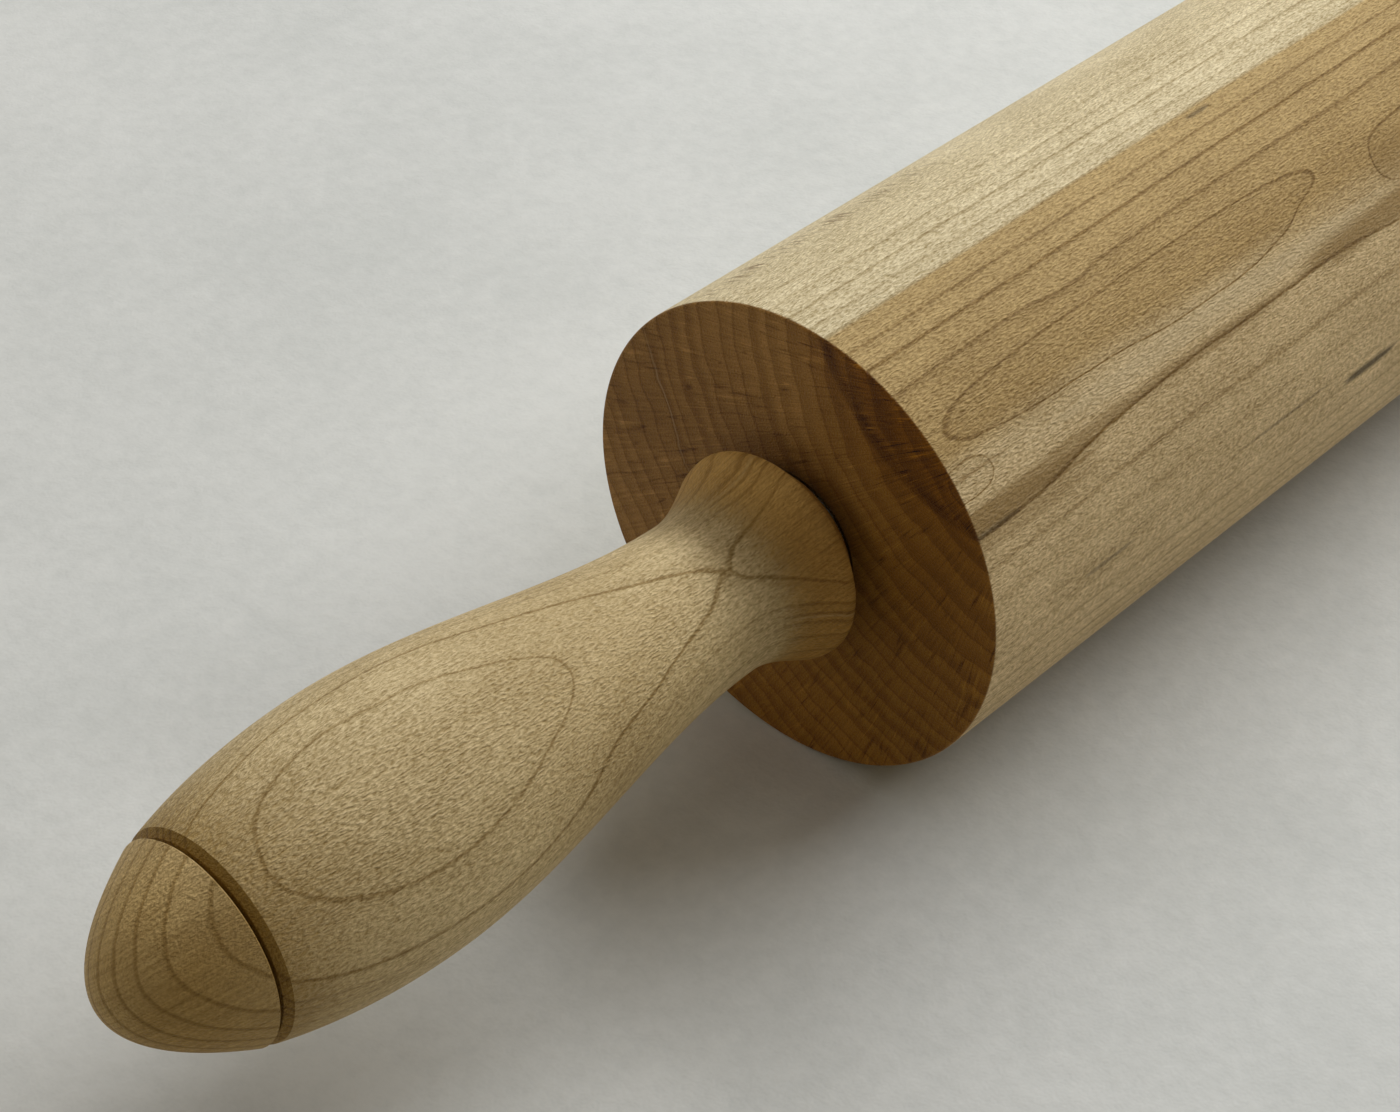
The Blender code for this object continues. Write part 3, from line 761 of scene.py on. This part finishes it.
class Maple(Surface):
    """Maple with growth rings, fibres, rays, pores and dark streaks, darker where its end grain shows."""

    def __init__(self, name, figure, look, turn=0.0, mirrored=False, seed=0.0):
        super().__init__(name)
        self.figure = figure
        self.look = look
        place = self.vector("ADD", self.coordinates("Object"), (BARREL_END, 0.0, -AXIS_HEIGHT))
        if mirrored:
            place = self.vector("MULTIPLY_ADD", place, (-1.0, 1.0, 1.0), (2 * BARREL_END, 0.0, 0.0))
        self.place = self.vector("MULTIPLY", self.rotate(place, turn), MILLIMETRES_IN_METRE)
        self.seeded = self.vector("ADD", self.place, (seed, seed, seed))
        self.normal = self.rotate(self.coordinates("Normal"), turn)
        facing = self.math("ABSOLUTE", self.split(self.normal)[0])
        self.cut = self.steps(facing, CUT_START, look["cut"])
        self.slow = self.noise(self.seeded, SLOW_SIZE)
        self.cloud = self.noise(self.seeded, CLOUD_SIZE)
        self.fibres = self.noise(self.seeded, FIBRE_SIZE, detail=3.0)
        self.grain = self.noise(self.seeded, GRAIN_SIZE, detail=2.0)
        self.painted_light = self.painted_light_share()
        self.distance = self.ring_distance()
        number, self.width, self.strength = self.ring_scale()
        self.share = self.math("FRACT", number)
        whole = self.math("ADD", self.math("FLOOR", number), 0.5)
        self.year = self.math("SUBTRACT", self.random(whole), 0.5)

    def across_from(self, angle, radius):
        """The way across the piece, with no X, from a line along it to the place."""
        line = (0.0, *section_place(angle, radius))
        return self.vector("MULTIPLY", self.vector("SUBTRACT", self.place, line), (0.0, 1.0, 1.0))

    def lump(self, along, angle, radius, half_length, half_width):
        """A smooth lump that is 1 at its middle and fades out over its half length and half width."""
        offset = self.vector("SUBTRACT", self.place, (along, *section_place(angle, radius)))
        across = self.vector("DIVIDE", offset, (ENDLESS, half_width, half_width))
        lengthways = self.math("DIVIDE", self.split(offset)[0], half_length)
        faded = self.math("POWER", self.math("ABSOLUTE", lengthways), FADE_POWER)
        faded = self.math("ADD", faded, self.vector("DOT_PRODUCT", across, across))
        return self.math("EXPONENT", self.math("MULTIPLY", faded, -1.0))

    def surface_lump(self, along, angle, half_length, half_width):
        """A lump whose middle is on the surface."""
        return self.lump(along, angle, self.figure["surface"], half_length, half_width)

    def painted_light_share(self):
        """Share of the second colour of each pair: 0 low and in front, in painted shade, and 1 high and at
        the back, in painted light.
        """
        _, y, z = self.split(self.place)
        leaning = self.math("ADD", y, self.math("MULTIPLY", z, PAINTED_LIGHT_HEIGHT_SHARE))
        leaning = self.math("MULTIPLY_ADD", self.slow, PAINTED_LIGHT_WAVE, leaning)
        return self.steps(leaning, *[share * self.figure["surface"] for share in PAINTED_LIGHT_FADE])

    def ring_distance(self):
        """Distance from the pith, bent by swells and waves."""
        distance = self.vector("LENGTH", self.across_from(*self.figure["pith"]))
        lean_start, lean = self.figure["lean"]
        if lean:
            from_start = self.math("SUBTRACT", self.split(self.place)[0], lean_start)
            distance = self.math("MULTIPLY_ADD", from_start, lean, distance)
        for *middle_and_size, height in self.figure["swells"]:
            distance = self.math("MULTIPLY_ADD", self.surface_lump(*middle_and_size), height, distance)
        for size, height in WAVES:
            distance = self.math("MULTIPLY_ADD", self.noise(self.seeded, size), height, distance)
        if "heart" in self.look:
            size, height = END_WAVE
            wave = self.math("MULTIPLY", self.noise(self.seeded, size), height)
            distance = self.math("MULTIPLY_ADD", wave, self.cut, distance)
        return distance

    def ring_scale(self):
        """The growth ring a place lies in, whose whole numbers are dark edges, its width and strength."""
        edges, widths, strengths = ring_table(self.figure)
        start, span, count = edges[0], edges[-1] - edges[0], len(edges) - 1
        shares = [(edge - start) / span for edge in edges]
        share = self.math("DIVIDE", self.math("SUBTRACT", self.distance, start), span)
        number = self.curve(share, [(at, step / count) for step, at in enumerate(shares)])
        width = self.curve(share, [(at, width / CURVE_WIDTH) for at, width in zip(shares, widths)])
        strength = self.curve(share, list(zip(shares, strengths)))
        return self.math("MULTIPLY", number, count), self.math("MULTIPLY", width, CURVE_WIDTH), strength

    def surface_slope(self):
        """How fast the ring distance grows along the surface, which keeps its lines equally thin."""
        across = self.vector("NORMALIZE", self.across_from(*self.figure["pith"]))
        facing = self.vector("DOT_PRODUCT", across, self.normal)
        level = self.math("SUBTRACT", 1.0, self.math("MULTIPLY", facing, facing))
        slope = self.math("SQRT", self.math("MAXIMUM", level, 0.0))
        return self.math("MAXIMUM", slope, self.figure["least_slope"])

    def accented_strength(self):
        """The strength of the lines, changed by the figure's accents."""
        strength = self.strength
        for *middle_and_size, extra in self.figure["accents"]:
            factor = self.math("MULTIPLY_ADD", self.surface_lump(*middle_and_size), extra, 1.0)
            strength = self.math("MULTIPLY", strength, factor)
        return strength

    def ring_lines(self):
        """Darkness of the rings' edges on the sides and on end grain.

        On the sides each is a thin line with a soft brown side towards the pith, and on end grain a
        thin line with a shade that grows over the ring.
        """
        on_surface = self.math("DIVIDE", self.width, self.surface_slope())
        after = self.math("MULTIPLY", self.share, on_surface)
        before = self.math("SUBTRACT", on_surface, after)
        inwards, outwards = self.figure["line"]
        line = self.math("MAXIMUM", self.steps(before, inwards, LINE_CORE), self.steps(after, outwards, 0.0))
        late = self.math("MULTIPLY", self.steps(before, *LATE_WOOD), LATE_WOOD_STRENGTH)
        strength = self.accented_strength()
        on_side = self.math("MULTIPLY", self.math("MAXIMUM", line, late), strength, clamp=True)
        on_end = self.math("MAXIMUM", self.math("MULTIPLY", line, self.look["end_line"]), self.end_band())
        return on_side, on_end

    def end_band(self):
        """The shade of late wood on end grain."""
        start = self.steps(self.share, *END_BAND_START)
        band = self.math("MINIMUM", start, self.steps(self.share, *END_BAND_END))
        band = self.math("MULTIPLY", band, self.math("MULTIPLY_ADD", self.year, END_BAND_CHANGE, 1.0))
        return self.math("MULTIPLY", band, self.look["end_shade"])

    def end_rays(self):
        """Fine lines that run out from the pith across the rings, as end grain shows them."""
        across = self.across_from(*self.figure["pith"])
        _, y, z = self.split(across)
        turn = self.math("MULTIPLY", self.math("ARCTAN2", z, y), RAY_TURN_SCALE)
        out = self.vector("LENGTH", across)
        fine = self.noise(self.join(turn, out, RAY_LAYER), RAY_SIZE, detail=2.0, roughness=0.6)
        hairs = self.noise(self.join(turn, out, HAIR_LAYER), HAIR_SIZE, detail=1.0)
        hairs = self.steps(self.math("ABSOLUTE", hairs), HAIR_WIDTH, 0.0)
        tone = self.noise(self.join(turn, out, HAIR_TONE_LAYER), HAIR_TONE_SIZE)
        return self.math("MULTIPLY_ADD", self.math("MULTIPLY", hairs, tone), self.look["hairs"], fine)

    def heart_edge(self):
        """Distance from the heart's middle, bent by slow noise, and the share inside the heart's edge."""
        out = self.vector("LENGTH", self.across_from(*HEART_MIDDLE))
        edge = self.math("MULTIPLY_ADD", self.slow, HEART_EDGE_WAVE, out)
        return edge, self.steps(edge, HEART_RADIUS, HEART_RADIUS - HEART_EDGE_SOFTNESS)

    def with_heart(self, side, end, rays):
        """The colours of sides and end grain and the rays, with the brown heart."""
        edge, inside = self.heart_edge()
        from_core = self.vector("LENGTH", self.across_from(*HEART_CORE))
        from_core = self.math("MULTIPLY_ADD", self.slow, HEART_CORE_WAVE, from_core)
        on_side = self.math("MULTIPLY", inside, self.steps(from_core, *HEART_CORE_FADE))
        # The heart's pair also carries painted light on the upper back and painted shade on the lower front.
        side = self.mix(on_side, side, self.mix(self.painted_light, *self.look["heart"]))
        end = self.mix(self.steps(edge, *HEART_END_FADE), end, self.look["heart_end"])
        full, ended = HEART_RIM_OUTSIDE
        outer = self.steps(edge, HEART_RADIUS + ended, HEART_RADIUS + full)
        rim = self.math("MULTIPLY", outer, self.steps(edge, HEART_RADIUS - HEART_RIM_INSIDE, HEART_RADIUS))
        rays = self.math("MULTIPLY_ADD", self.math("MULTIPLY", rays, inside), HEART_RAYS, rays)
        rays = self.math("MULTIPLY_ADD", rim, HEART_RIM_TONE, rays)
        return side, end, self.math("MULTIPLY_ADD", inside, HEART_INSIDE_TONE, rays)

    def flecked(self, side):
        """A colour with short dark flecks across the grain."""
        for *middle_and_size, strength in self.figure["flecks"]:
            near = self.surface_lump(*middle_and_size)
            marks = self.steps(self.noise(self.seeded, FLECK_SIZE, detail=1.0), *FLECK_FADE)
            marks = self.math("MULTIPLY", marks, near)
            side = self.mix(self.math("MULTIPLY", marks, strength), side, FLECK_BROWN)
        return side

    def streaked(self, side):
        """A colour with the figure's streaks along the grain."""
        rough = self.noise(self.seeded, STREAK_EDGE_SIZE, detail=3.0)
        for *middle_and_size, strength, colour in self.figure["streaks"]:
            streak = self.math("MULTIPLY_ADD", rough, STREAK_EDGE, self.surface_lump(*middle_and_size))
            streak = self.steps(streak, *STREAK_FADE)
            side = self.mix(self.math("MULTIPLY", streak, strength), side, colour)
        return side

    def pale_ringed(self, end):
        """An end colour with the figure's pale rings."""
        for ring, *middle_and_size, strength in self.figure["pale_rings"]:
            away = self.math("DIVIDE", self.math("SUBTRACT", self.distance, ring), PALE_RING_HALF_WIDTH)
            near = self.math("EXPONENT", self.math("MULTIPLY", self.math("MULTIPLY", away, away), -1.0))
            near = self.math("MULTIPLY", near, self.lump(*middle_and_size))
            end = self.mix(self.math("MULTIPLY", near, strength), end, self.look["side"][0])
        return end

    def end_tones(self):
        """The figure's lighter and darker places of end grain, each with its share."""
        return [
            (self.lump(0.0, angle, radius, ENDLESS, half_width), share)
            for angle, radius, half_width, share in self.figure["end_tones"]
        ]

    def finished_side(self, side, lines):
        """The sides' colour with all their marks."""
        tones = [(self.year, YEAR_SHARE), (self.cloud, SIDE_CLOUD_SHARE), (self.fibres, SIDE_FIBRE_SHARE)]
        side = self.toned(side, *tones, (self.grain, self.look["grain"]))
        side = self.streaked(self.flecked(side))
        broken = self.math("MULTIPLY_ADD", self.grain, LINE_GRAIN, LINE_LEFT, clamp=True)
        return self.mix(self.math("MULTIPLY", lines, broken), side, RING_TINT, "MULTIPLY")

    def finished_end(self, end, rays, lines):
        """The end grain's colour with all its marks."""
        pores = self.noise(self.seeded, PORE_SIZE, detail=1.0)
        tones = [(self.year, YEAR_SHARE), (self.cloud, END_CLOUD_SHARE), (rays, END_RAY_SHARE)]
        end = self.toned(end, *tones, (pores, END_PORE_SHARE))
        if self.figure["end_tones"]:
            end = self.toned(end, *self.end_tones())
        end = self.mix(lines, end, self.toned(end, (1.0, END_LINE_TONE)))
        return self.pale_ringed(end)

    def finished(self):
        """Work out the colour, roughness and relief, and return the material."""
        lines, end_lines = self.ring_lines()
        # Each pair is painted light on the upper back and painted shade on the lower front.
        side = self.mix(self.painted_light, *self.look["side"])
        end = self.mix(self.painted_light, *self.look["end"])
        cut = self.cut
        # Near the barrel the flare colour, partly painted shade, covers the whole surface, the lip's rim too.
        if "flare" in self.look:
            flare_shade = self.steps(self.split(self.place)[0], *FLARE_SHADE_FADE)
            end = self.mix(flare_shade, end, self.mix(self.painted_light, *self.look["flare"]))
            cut = self.math("MAXIMUM", cut, flare_shade)
        rays = self.end_rays()
        if "heart" in self.look:
            side, end, rays = self.with_heart(side, end, rays)
        side = self.finished_side(side, lines)
        end = self.finished_end(end, rays, end_lines)
        roughness = self.math("MULTIPLY_ADD", self.fibres, WOOD_ROUGHNESS_CHANGE, WOOD_ROUGHNESS)
        self.shader.inputs["Specular IOR Level"].default_value = WOOD_SPECULAR
        return self.paint(self.mix(cut, side, end), roughness, self.bump(self.grain, WOOD_BUMP))


def steel(name, colour, roughness, lines, depth):
    """Plain metal: tooling lines of the given (X, Y, Z) size in metres, and faint cloudy wear."""
    surface = Surface(name)
    place = surface.coordinates("Object")
    marks = surface.noise(place, lines, detail=3.0)
    wear = surface.noise(place, STEEL_WEAR_SIZE, detail=3.0)
    tone = surface.math("MULTIPLY_ADD", wear, STEEL_WEAR_TONE, 1.0)
    tone = surface.math("MULTIPLY_ADD", marks, STEEL_LINE_TONE, tone)
    colour = surface.mix(1.0, colour, surface.join(tone, tone, tone), "MULTIPLY")
    rough = surface.math("MULTIPLY_ADD", marks, STEEL_LINE_ROUGHNESS, roughness)
    rough = surface.math("MULTIPLY_ADD", wear, STEEL_WEAR_ROUGHNESS, rough)
    surface.shader.inputs["Metallic"].default_value = 1.0
    return surface.paint(colour, rough, surface.bump(marks, depth))


def nylon(name):
    """Natural nylon: off-white with a faint grain from the mould."""
    surface = Surface(name)
    place = surface.coordinates("Object")
    cloud = surface.noise(place, NYLON_CLOUD_SIZE)
    grain = surface.noise(place, NYLON_GRAIN_SIZE)
    colour = surface.mix(surface.steps(cloud, *NYLON_CLOUD_RANGE), *NYLON_COLOURS)
    roughness = surface.math("MULTIPLY_ADD", grain, NYLON_ROUGHNESS_CHANGE, NYLON_ROUGHNESS)
    surface.shader.inputs["Subsurface Weight"].default_value = NYLON_SUBSURFACE
    surface.shader.inputs["Subsurface Scale"].default_value = NYLON_SUBSURFACE_SCALE
    return surface.paint(colour, roughness, surface.bump(grain, NYLON_BUMP))


def floor_material():
    """A pale matt surface with soft clouds and a fine grain."""
    surface = Surface("floor")
    place = surface.coordinates("Object")
    clouds = surface.noise(place, FLOOR_CLOUD_SIZE, detail=6.0, roughness=0.65)
    fine = surface.noise(place, FLOOR_GRAIN_SIZE, detail=3.0, roughness=0.7)
    shade = surface.math("MULTIPLY_ADD", fine, FLOOR_GRAIN_SHARE, clouds)
    colour = surface.mix(surface.steps(shade, *FLOOR_SHADE_RANGE), FLOOR_SHADE, FLOOR_COLOUR)
    roughness = surface.math("MULTIPLY_ADD", fine, FLOOR_ROUGHNESS_CHANGE, FLOOR_ROUGHNESS)
    return surface.paint(colour, roughness, surface.bump(fine, FLOOR_BUMP, FLOOR_BUMP_STRENGTH))


def add_camera():
    """The camera at the photograph's viewing angle."""
    data = bpy.data.cameras.new("camera")
    data.sensor_width = SENSOR_WIDTH
    data.lens = CAMERA_LENS
    data.clip_start = CAMERA_CLIP_START
    camera = bpy.data.objects.new("camera", data)
    bpy.context.scene.collection.objects.link(camera)
    camera.location = CAMERA_PLACE
    aim = Vector(CAMERA_AIM) - Vector(CAMERA_PLACE)
    camera.rotation_euler = aim.to_track_quat("-Z", "Y").to_euler()
    bpy.context.scene.camera = camera


def add_floor():
    """A plain pale floor."""
    half = FLOOR_SIZE / 2
    corners = [(-half, -half, 0), (half, -half, 0), (half, half, 0), (-half, half, 0)]
    mesh = bpy.data.meshes.new("floor")
    mesh.from_pydata(corners, [], [(0, 1, 2, 3)])
    floor = bpy.data.objects.new("floor", mesh)
    bpy.context.scene.collection.objects.link(floor)
    mesh.materials.append(floor_material())


def add_turned(name, outline, direction, material, body, node):
    """Add a turned piece in place of its CAD node."""
    start = 0 if node == "barrel" else direction * BARREL_END
    piece = turned(name, outline, direction, start)
    piece.data.materials.append(material)
    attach(piece, body)
    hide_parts(node)


def add_barrel():
    """The barrel."""
    wood = Maple("maple_barrel", BARREL_FIGURE, BARREL_LOOK).finished()
    add_turned("barrel_wood", barrel_outline(), 1, wood, "barrel_unit", "barrel")


def add_handle(side, direction, turn, mirrored, seed):
    """The handle of one side and its cap."""
    wood = Maple("maple_handle_" + side, HANDLE_FIGURE, HANDLE_LOOK, turn, mirrored, seed).finished()
    name, node = side + "_handle_wood", side + "_handle"
    add_turned(name, handle_outline(), direction, wood, "handle_unit", node)
    wood = Maple("maple_cap_" + side, CAP_FIGURE, CAP_LOOK, turn, mirrored, seed + CAP_SEED).finished()
    name, node = side + "_cap_wood", side + "_end_cap"
    add_turned(name, cap_outline(), direction, wood, "handle_unit", node)


def dress_metal():
    """Give each metal or nylon node of the model its material, by its slot."""
    made = {slot: steel(slot, *look) for slot, look in STEEL_LOOKS.items()}
    made["cage_nylon"] = nylon("cage_nylon")
    for subpart in frame["record"]["subparts"]:
        if subpart["material_slot"] in made:
            mesh = frame["nodes"][subpart["node"]].data
            mesh.materials.clear()
            mesh.materials.append(made[subpart["material_slot"]])


def add_world():
    """Even light from all round, and a pale background behind the floor."""
    world = bpy.data.worlds.new("surroundings")
    world.use_nodes = True
    graph = Graph(world.node_tree)
    path = graph.nodes.new("ShaderNodeLightPath")
    seen = path.outputs["Is Camera Ray"]
    for kind in ("Is Glossy Ray", "Is Transmission Ray"):
        seen = graph.math("MAXIMUM", seen, path.outputs[kind])
    background = graph.nodes["Background"]
    graph.feed(background.inputs["Color"], graph.mix(seen, WORLD_COLOUR, BACKGROUND_COLOUR))
    light = graph.math("MULTIPLY_ADD", seen, BACKGROUND_LIGHT - WORLD_LIGHT, WORLD_LIGHT)
    graph.feed(background.inputs["Strength"], light)
    bpy.context.scene.world = world


def add_lamps():
    """Large soft panels that face the pin."""
    for name, turn, height, size, power, colour in LAMPS:
        data = bpy.data.lights.new(name, "AREA")
        data.shape = "RECTANGLE"
        data.size, data.size_y = size
        data.energy = power
        data.color = colour
        lamp = bpy.data.objects.new(name, data)
        bpy.context.scene.collection.objects.link(lamp)
        turned_by, raised_by = math.radians(turn), math.radians(height)
        flat = math.cos(raised_by)
        away = Vector((math.cos(turned_by) * flat, math.sin(turned_by) * flat, math.sin(raised_by)))
        lamp.location = Vector(LAMP_AIM) + away * LAMP_REACH
        lamp.rotation_euler = (-away).to_track_quat("-Z", "Y").to_euler()
        lamp.visible_camera = False


bpy.context.scene.view_settings.view_transform = "Standard"
add_camera()
add_floor()
add_barrel()
for side, layout in HANDLE_SIDES.items():
    add_handle(side, *layout)
dress_metal()
add_world()
add_lamps()
